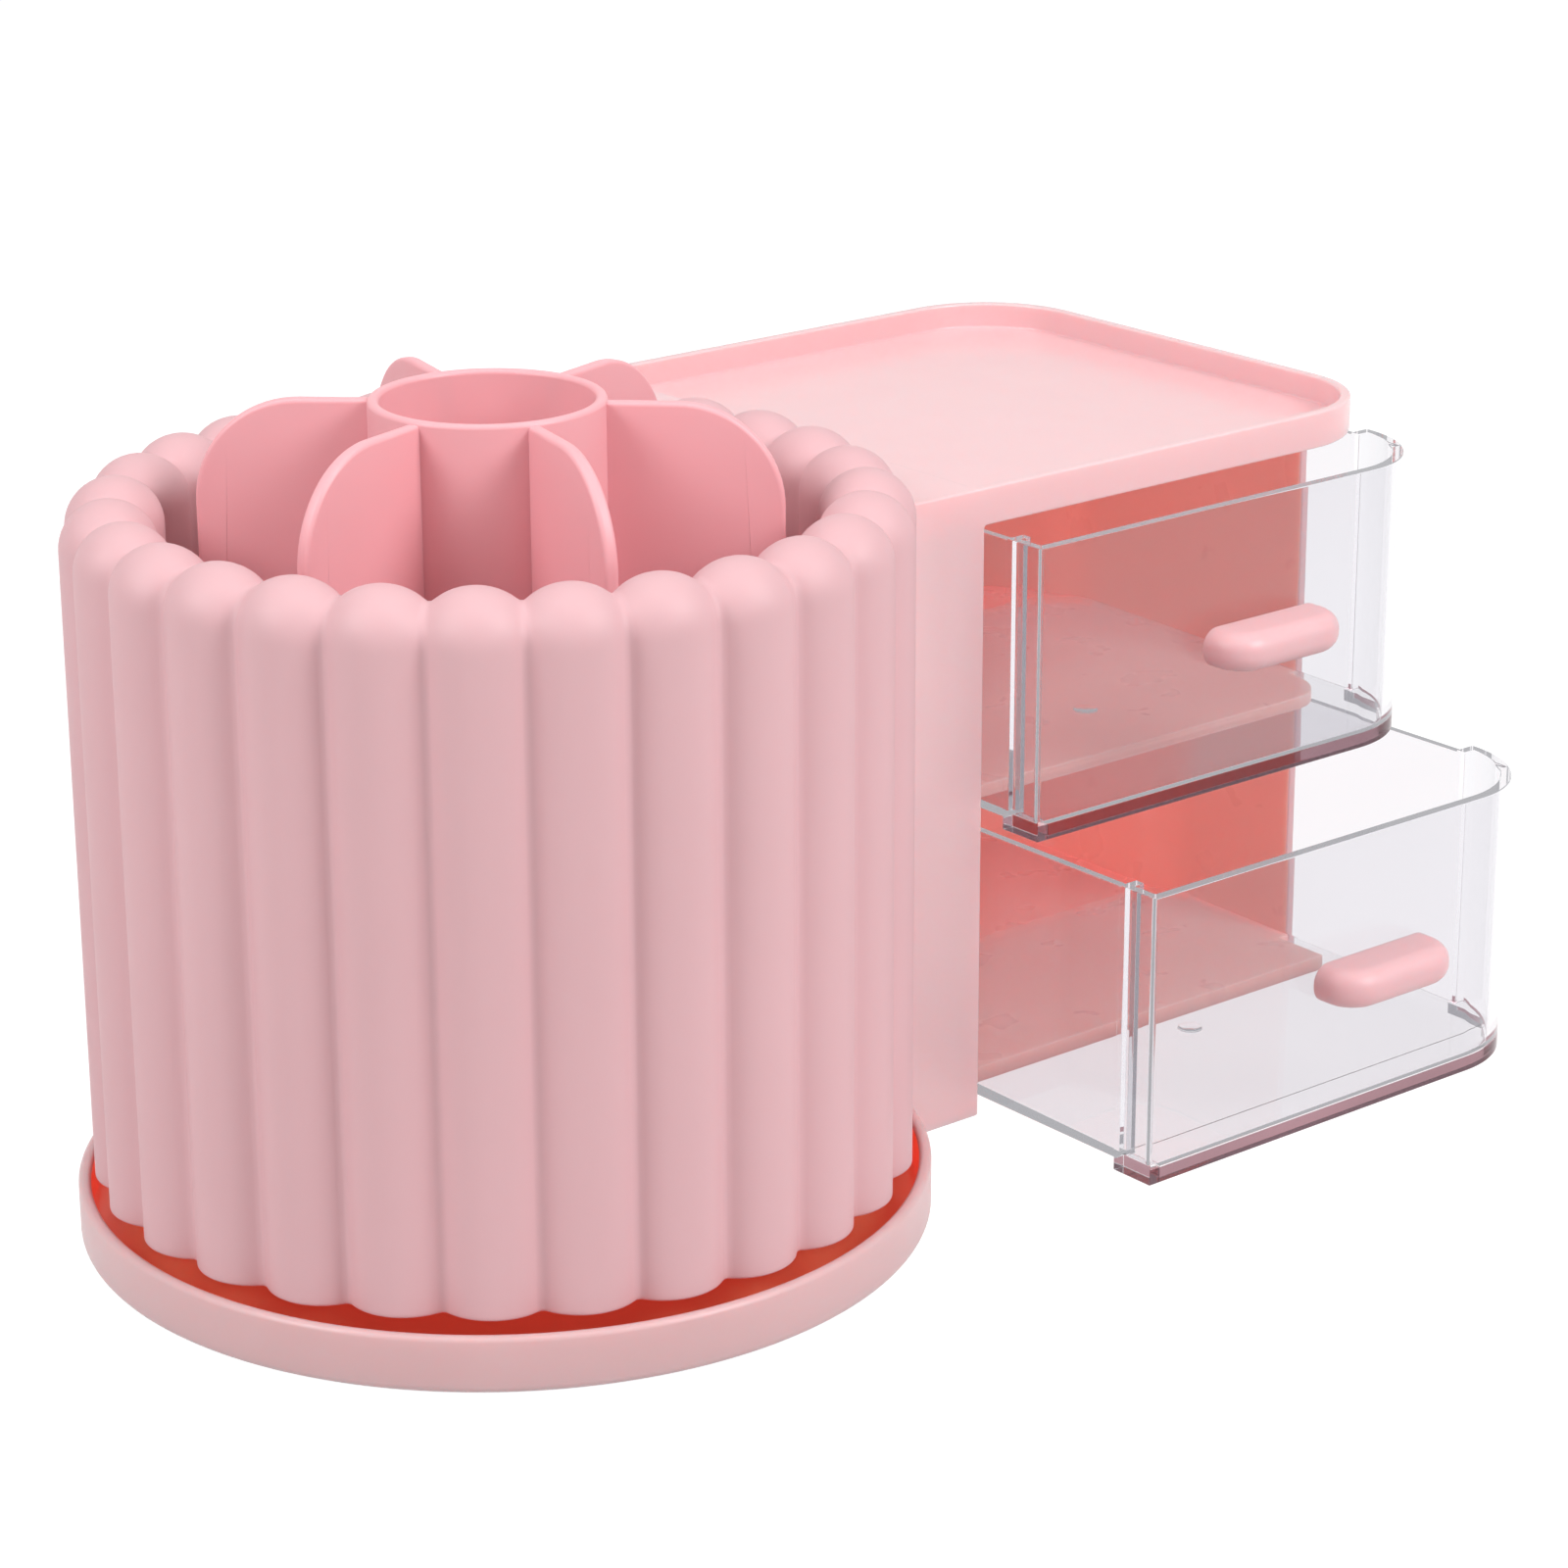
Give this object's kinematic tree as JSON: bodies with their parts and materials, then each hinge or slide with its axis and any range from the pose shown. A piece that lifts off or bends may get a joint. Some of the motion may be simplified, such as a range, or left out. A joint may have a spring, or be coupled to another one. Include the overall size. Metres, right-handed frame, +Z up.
{
  "type": "desk organiser",
  "caption": "Desk organiser with a fluted pen cup that turns in a round dish, beside a cabinet with clear pull-out drawers and a tray on top.",
  "frame": {"origin": "on the turning axis of the cup, on the surface that the organiser stands on", "axes": "+Z up, +X from the cup towards the drawers, -Y the way the drawers pull out"},
  "size_m": [0.2703, 0.1698, 0.1471],
  "materials": {
    "pink_shell": "satin moulded plastic",
    "dusty_pink": "satin moulded plastic",
    "coral_pink": "satin moulded plastic",
    "clear_plastic": "clear polished plastic",
    "pull_pink": "satin moulded plastic",
    "white_glide": "smooth low-friction plastic",
    "screw_steel": "zinc plated"
  },
  "bodies": {
    "base": {"base_tray": "pink_shell", "cabinet_shell": "pink_shell", "drawer_shelf": "pink_shell", "case_screws": "screw_steel", "glide_ring": "white_glide", "pivot_washer": "screw_steel", "pivot_screw": "screw_steel"},
    "cup": {"fluted_cup": "dusty_pink", "pivot_bush": "white_glide", "pivot_cap": "coral_pink"},
    "insert": {"divider_insert": "coral_pink"},
    "lower_drawer": {"lower_drawer_tray": "clear_plastic", "lower_drawer_pull": "pull_pink"},
    "upper_drawer": {"upper_drawer_tray": "clear_plastic", "upper_drawer_pull": "pull_pink"}
  },
  "joints": [
    {"name": "cup_spin", "type": "hinge", "parent": "base", "child": "cup", "pos_m": [0, 0, 0], "axis": [0, 0, 1], "continuous": true},
    {"name": "insert_lift", "type": "slide", "parent": "cup", "child": "insert", "axis": [0, 0, 1], "range_m": [0, 0.14]},
    {"name": "lower_drawer_slide", "type": "slide", "parent": "base", "child": "lower_drawer", "axis": [0, -1, 0], "range_m": [-0.0452, 0.035]},
    {"name": "upper_drawer_slide", "type": "slide", "parent": "base", "child": "upper_drawer", "axis": [0, -1, 0], "range_m": [-0.0143, 0.0659]}
  ]
}
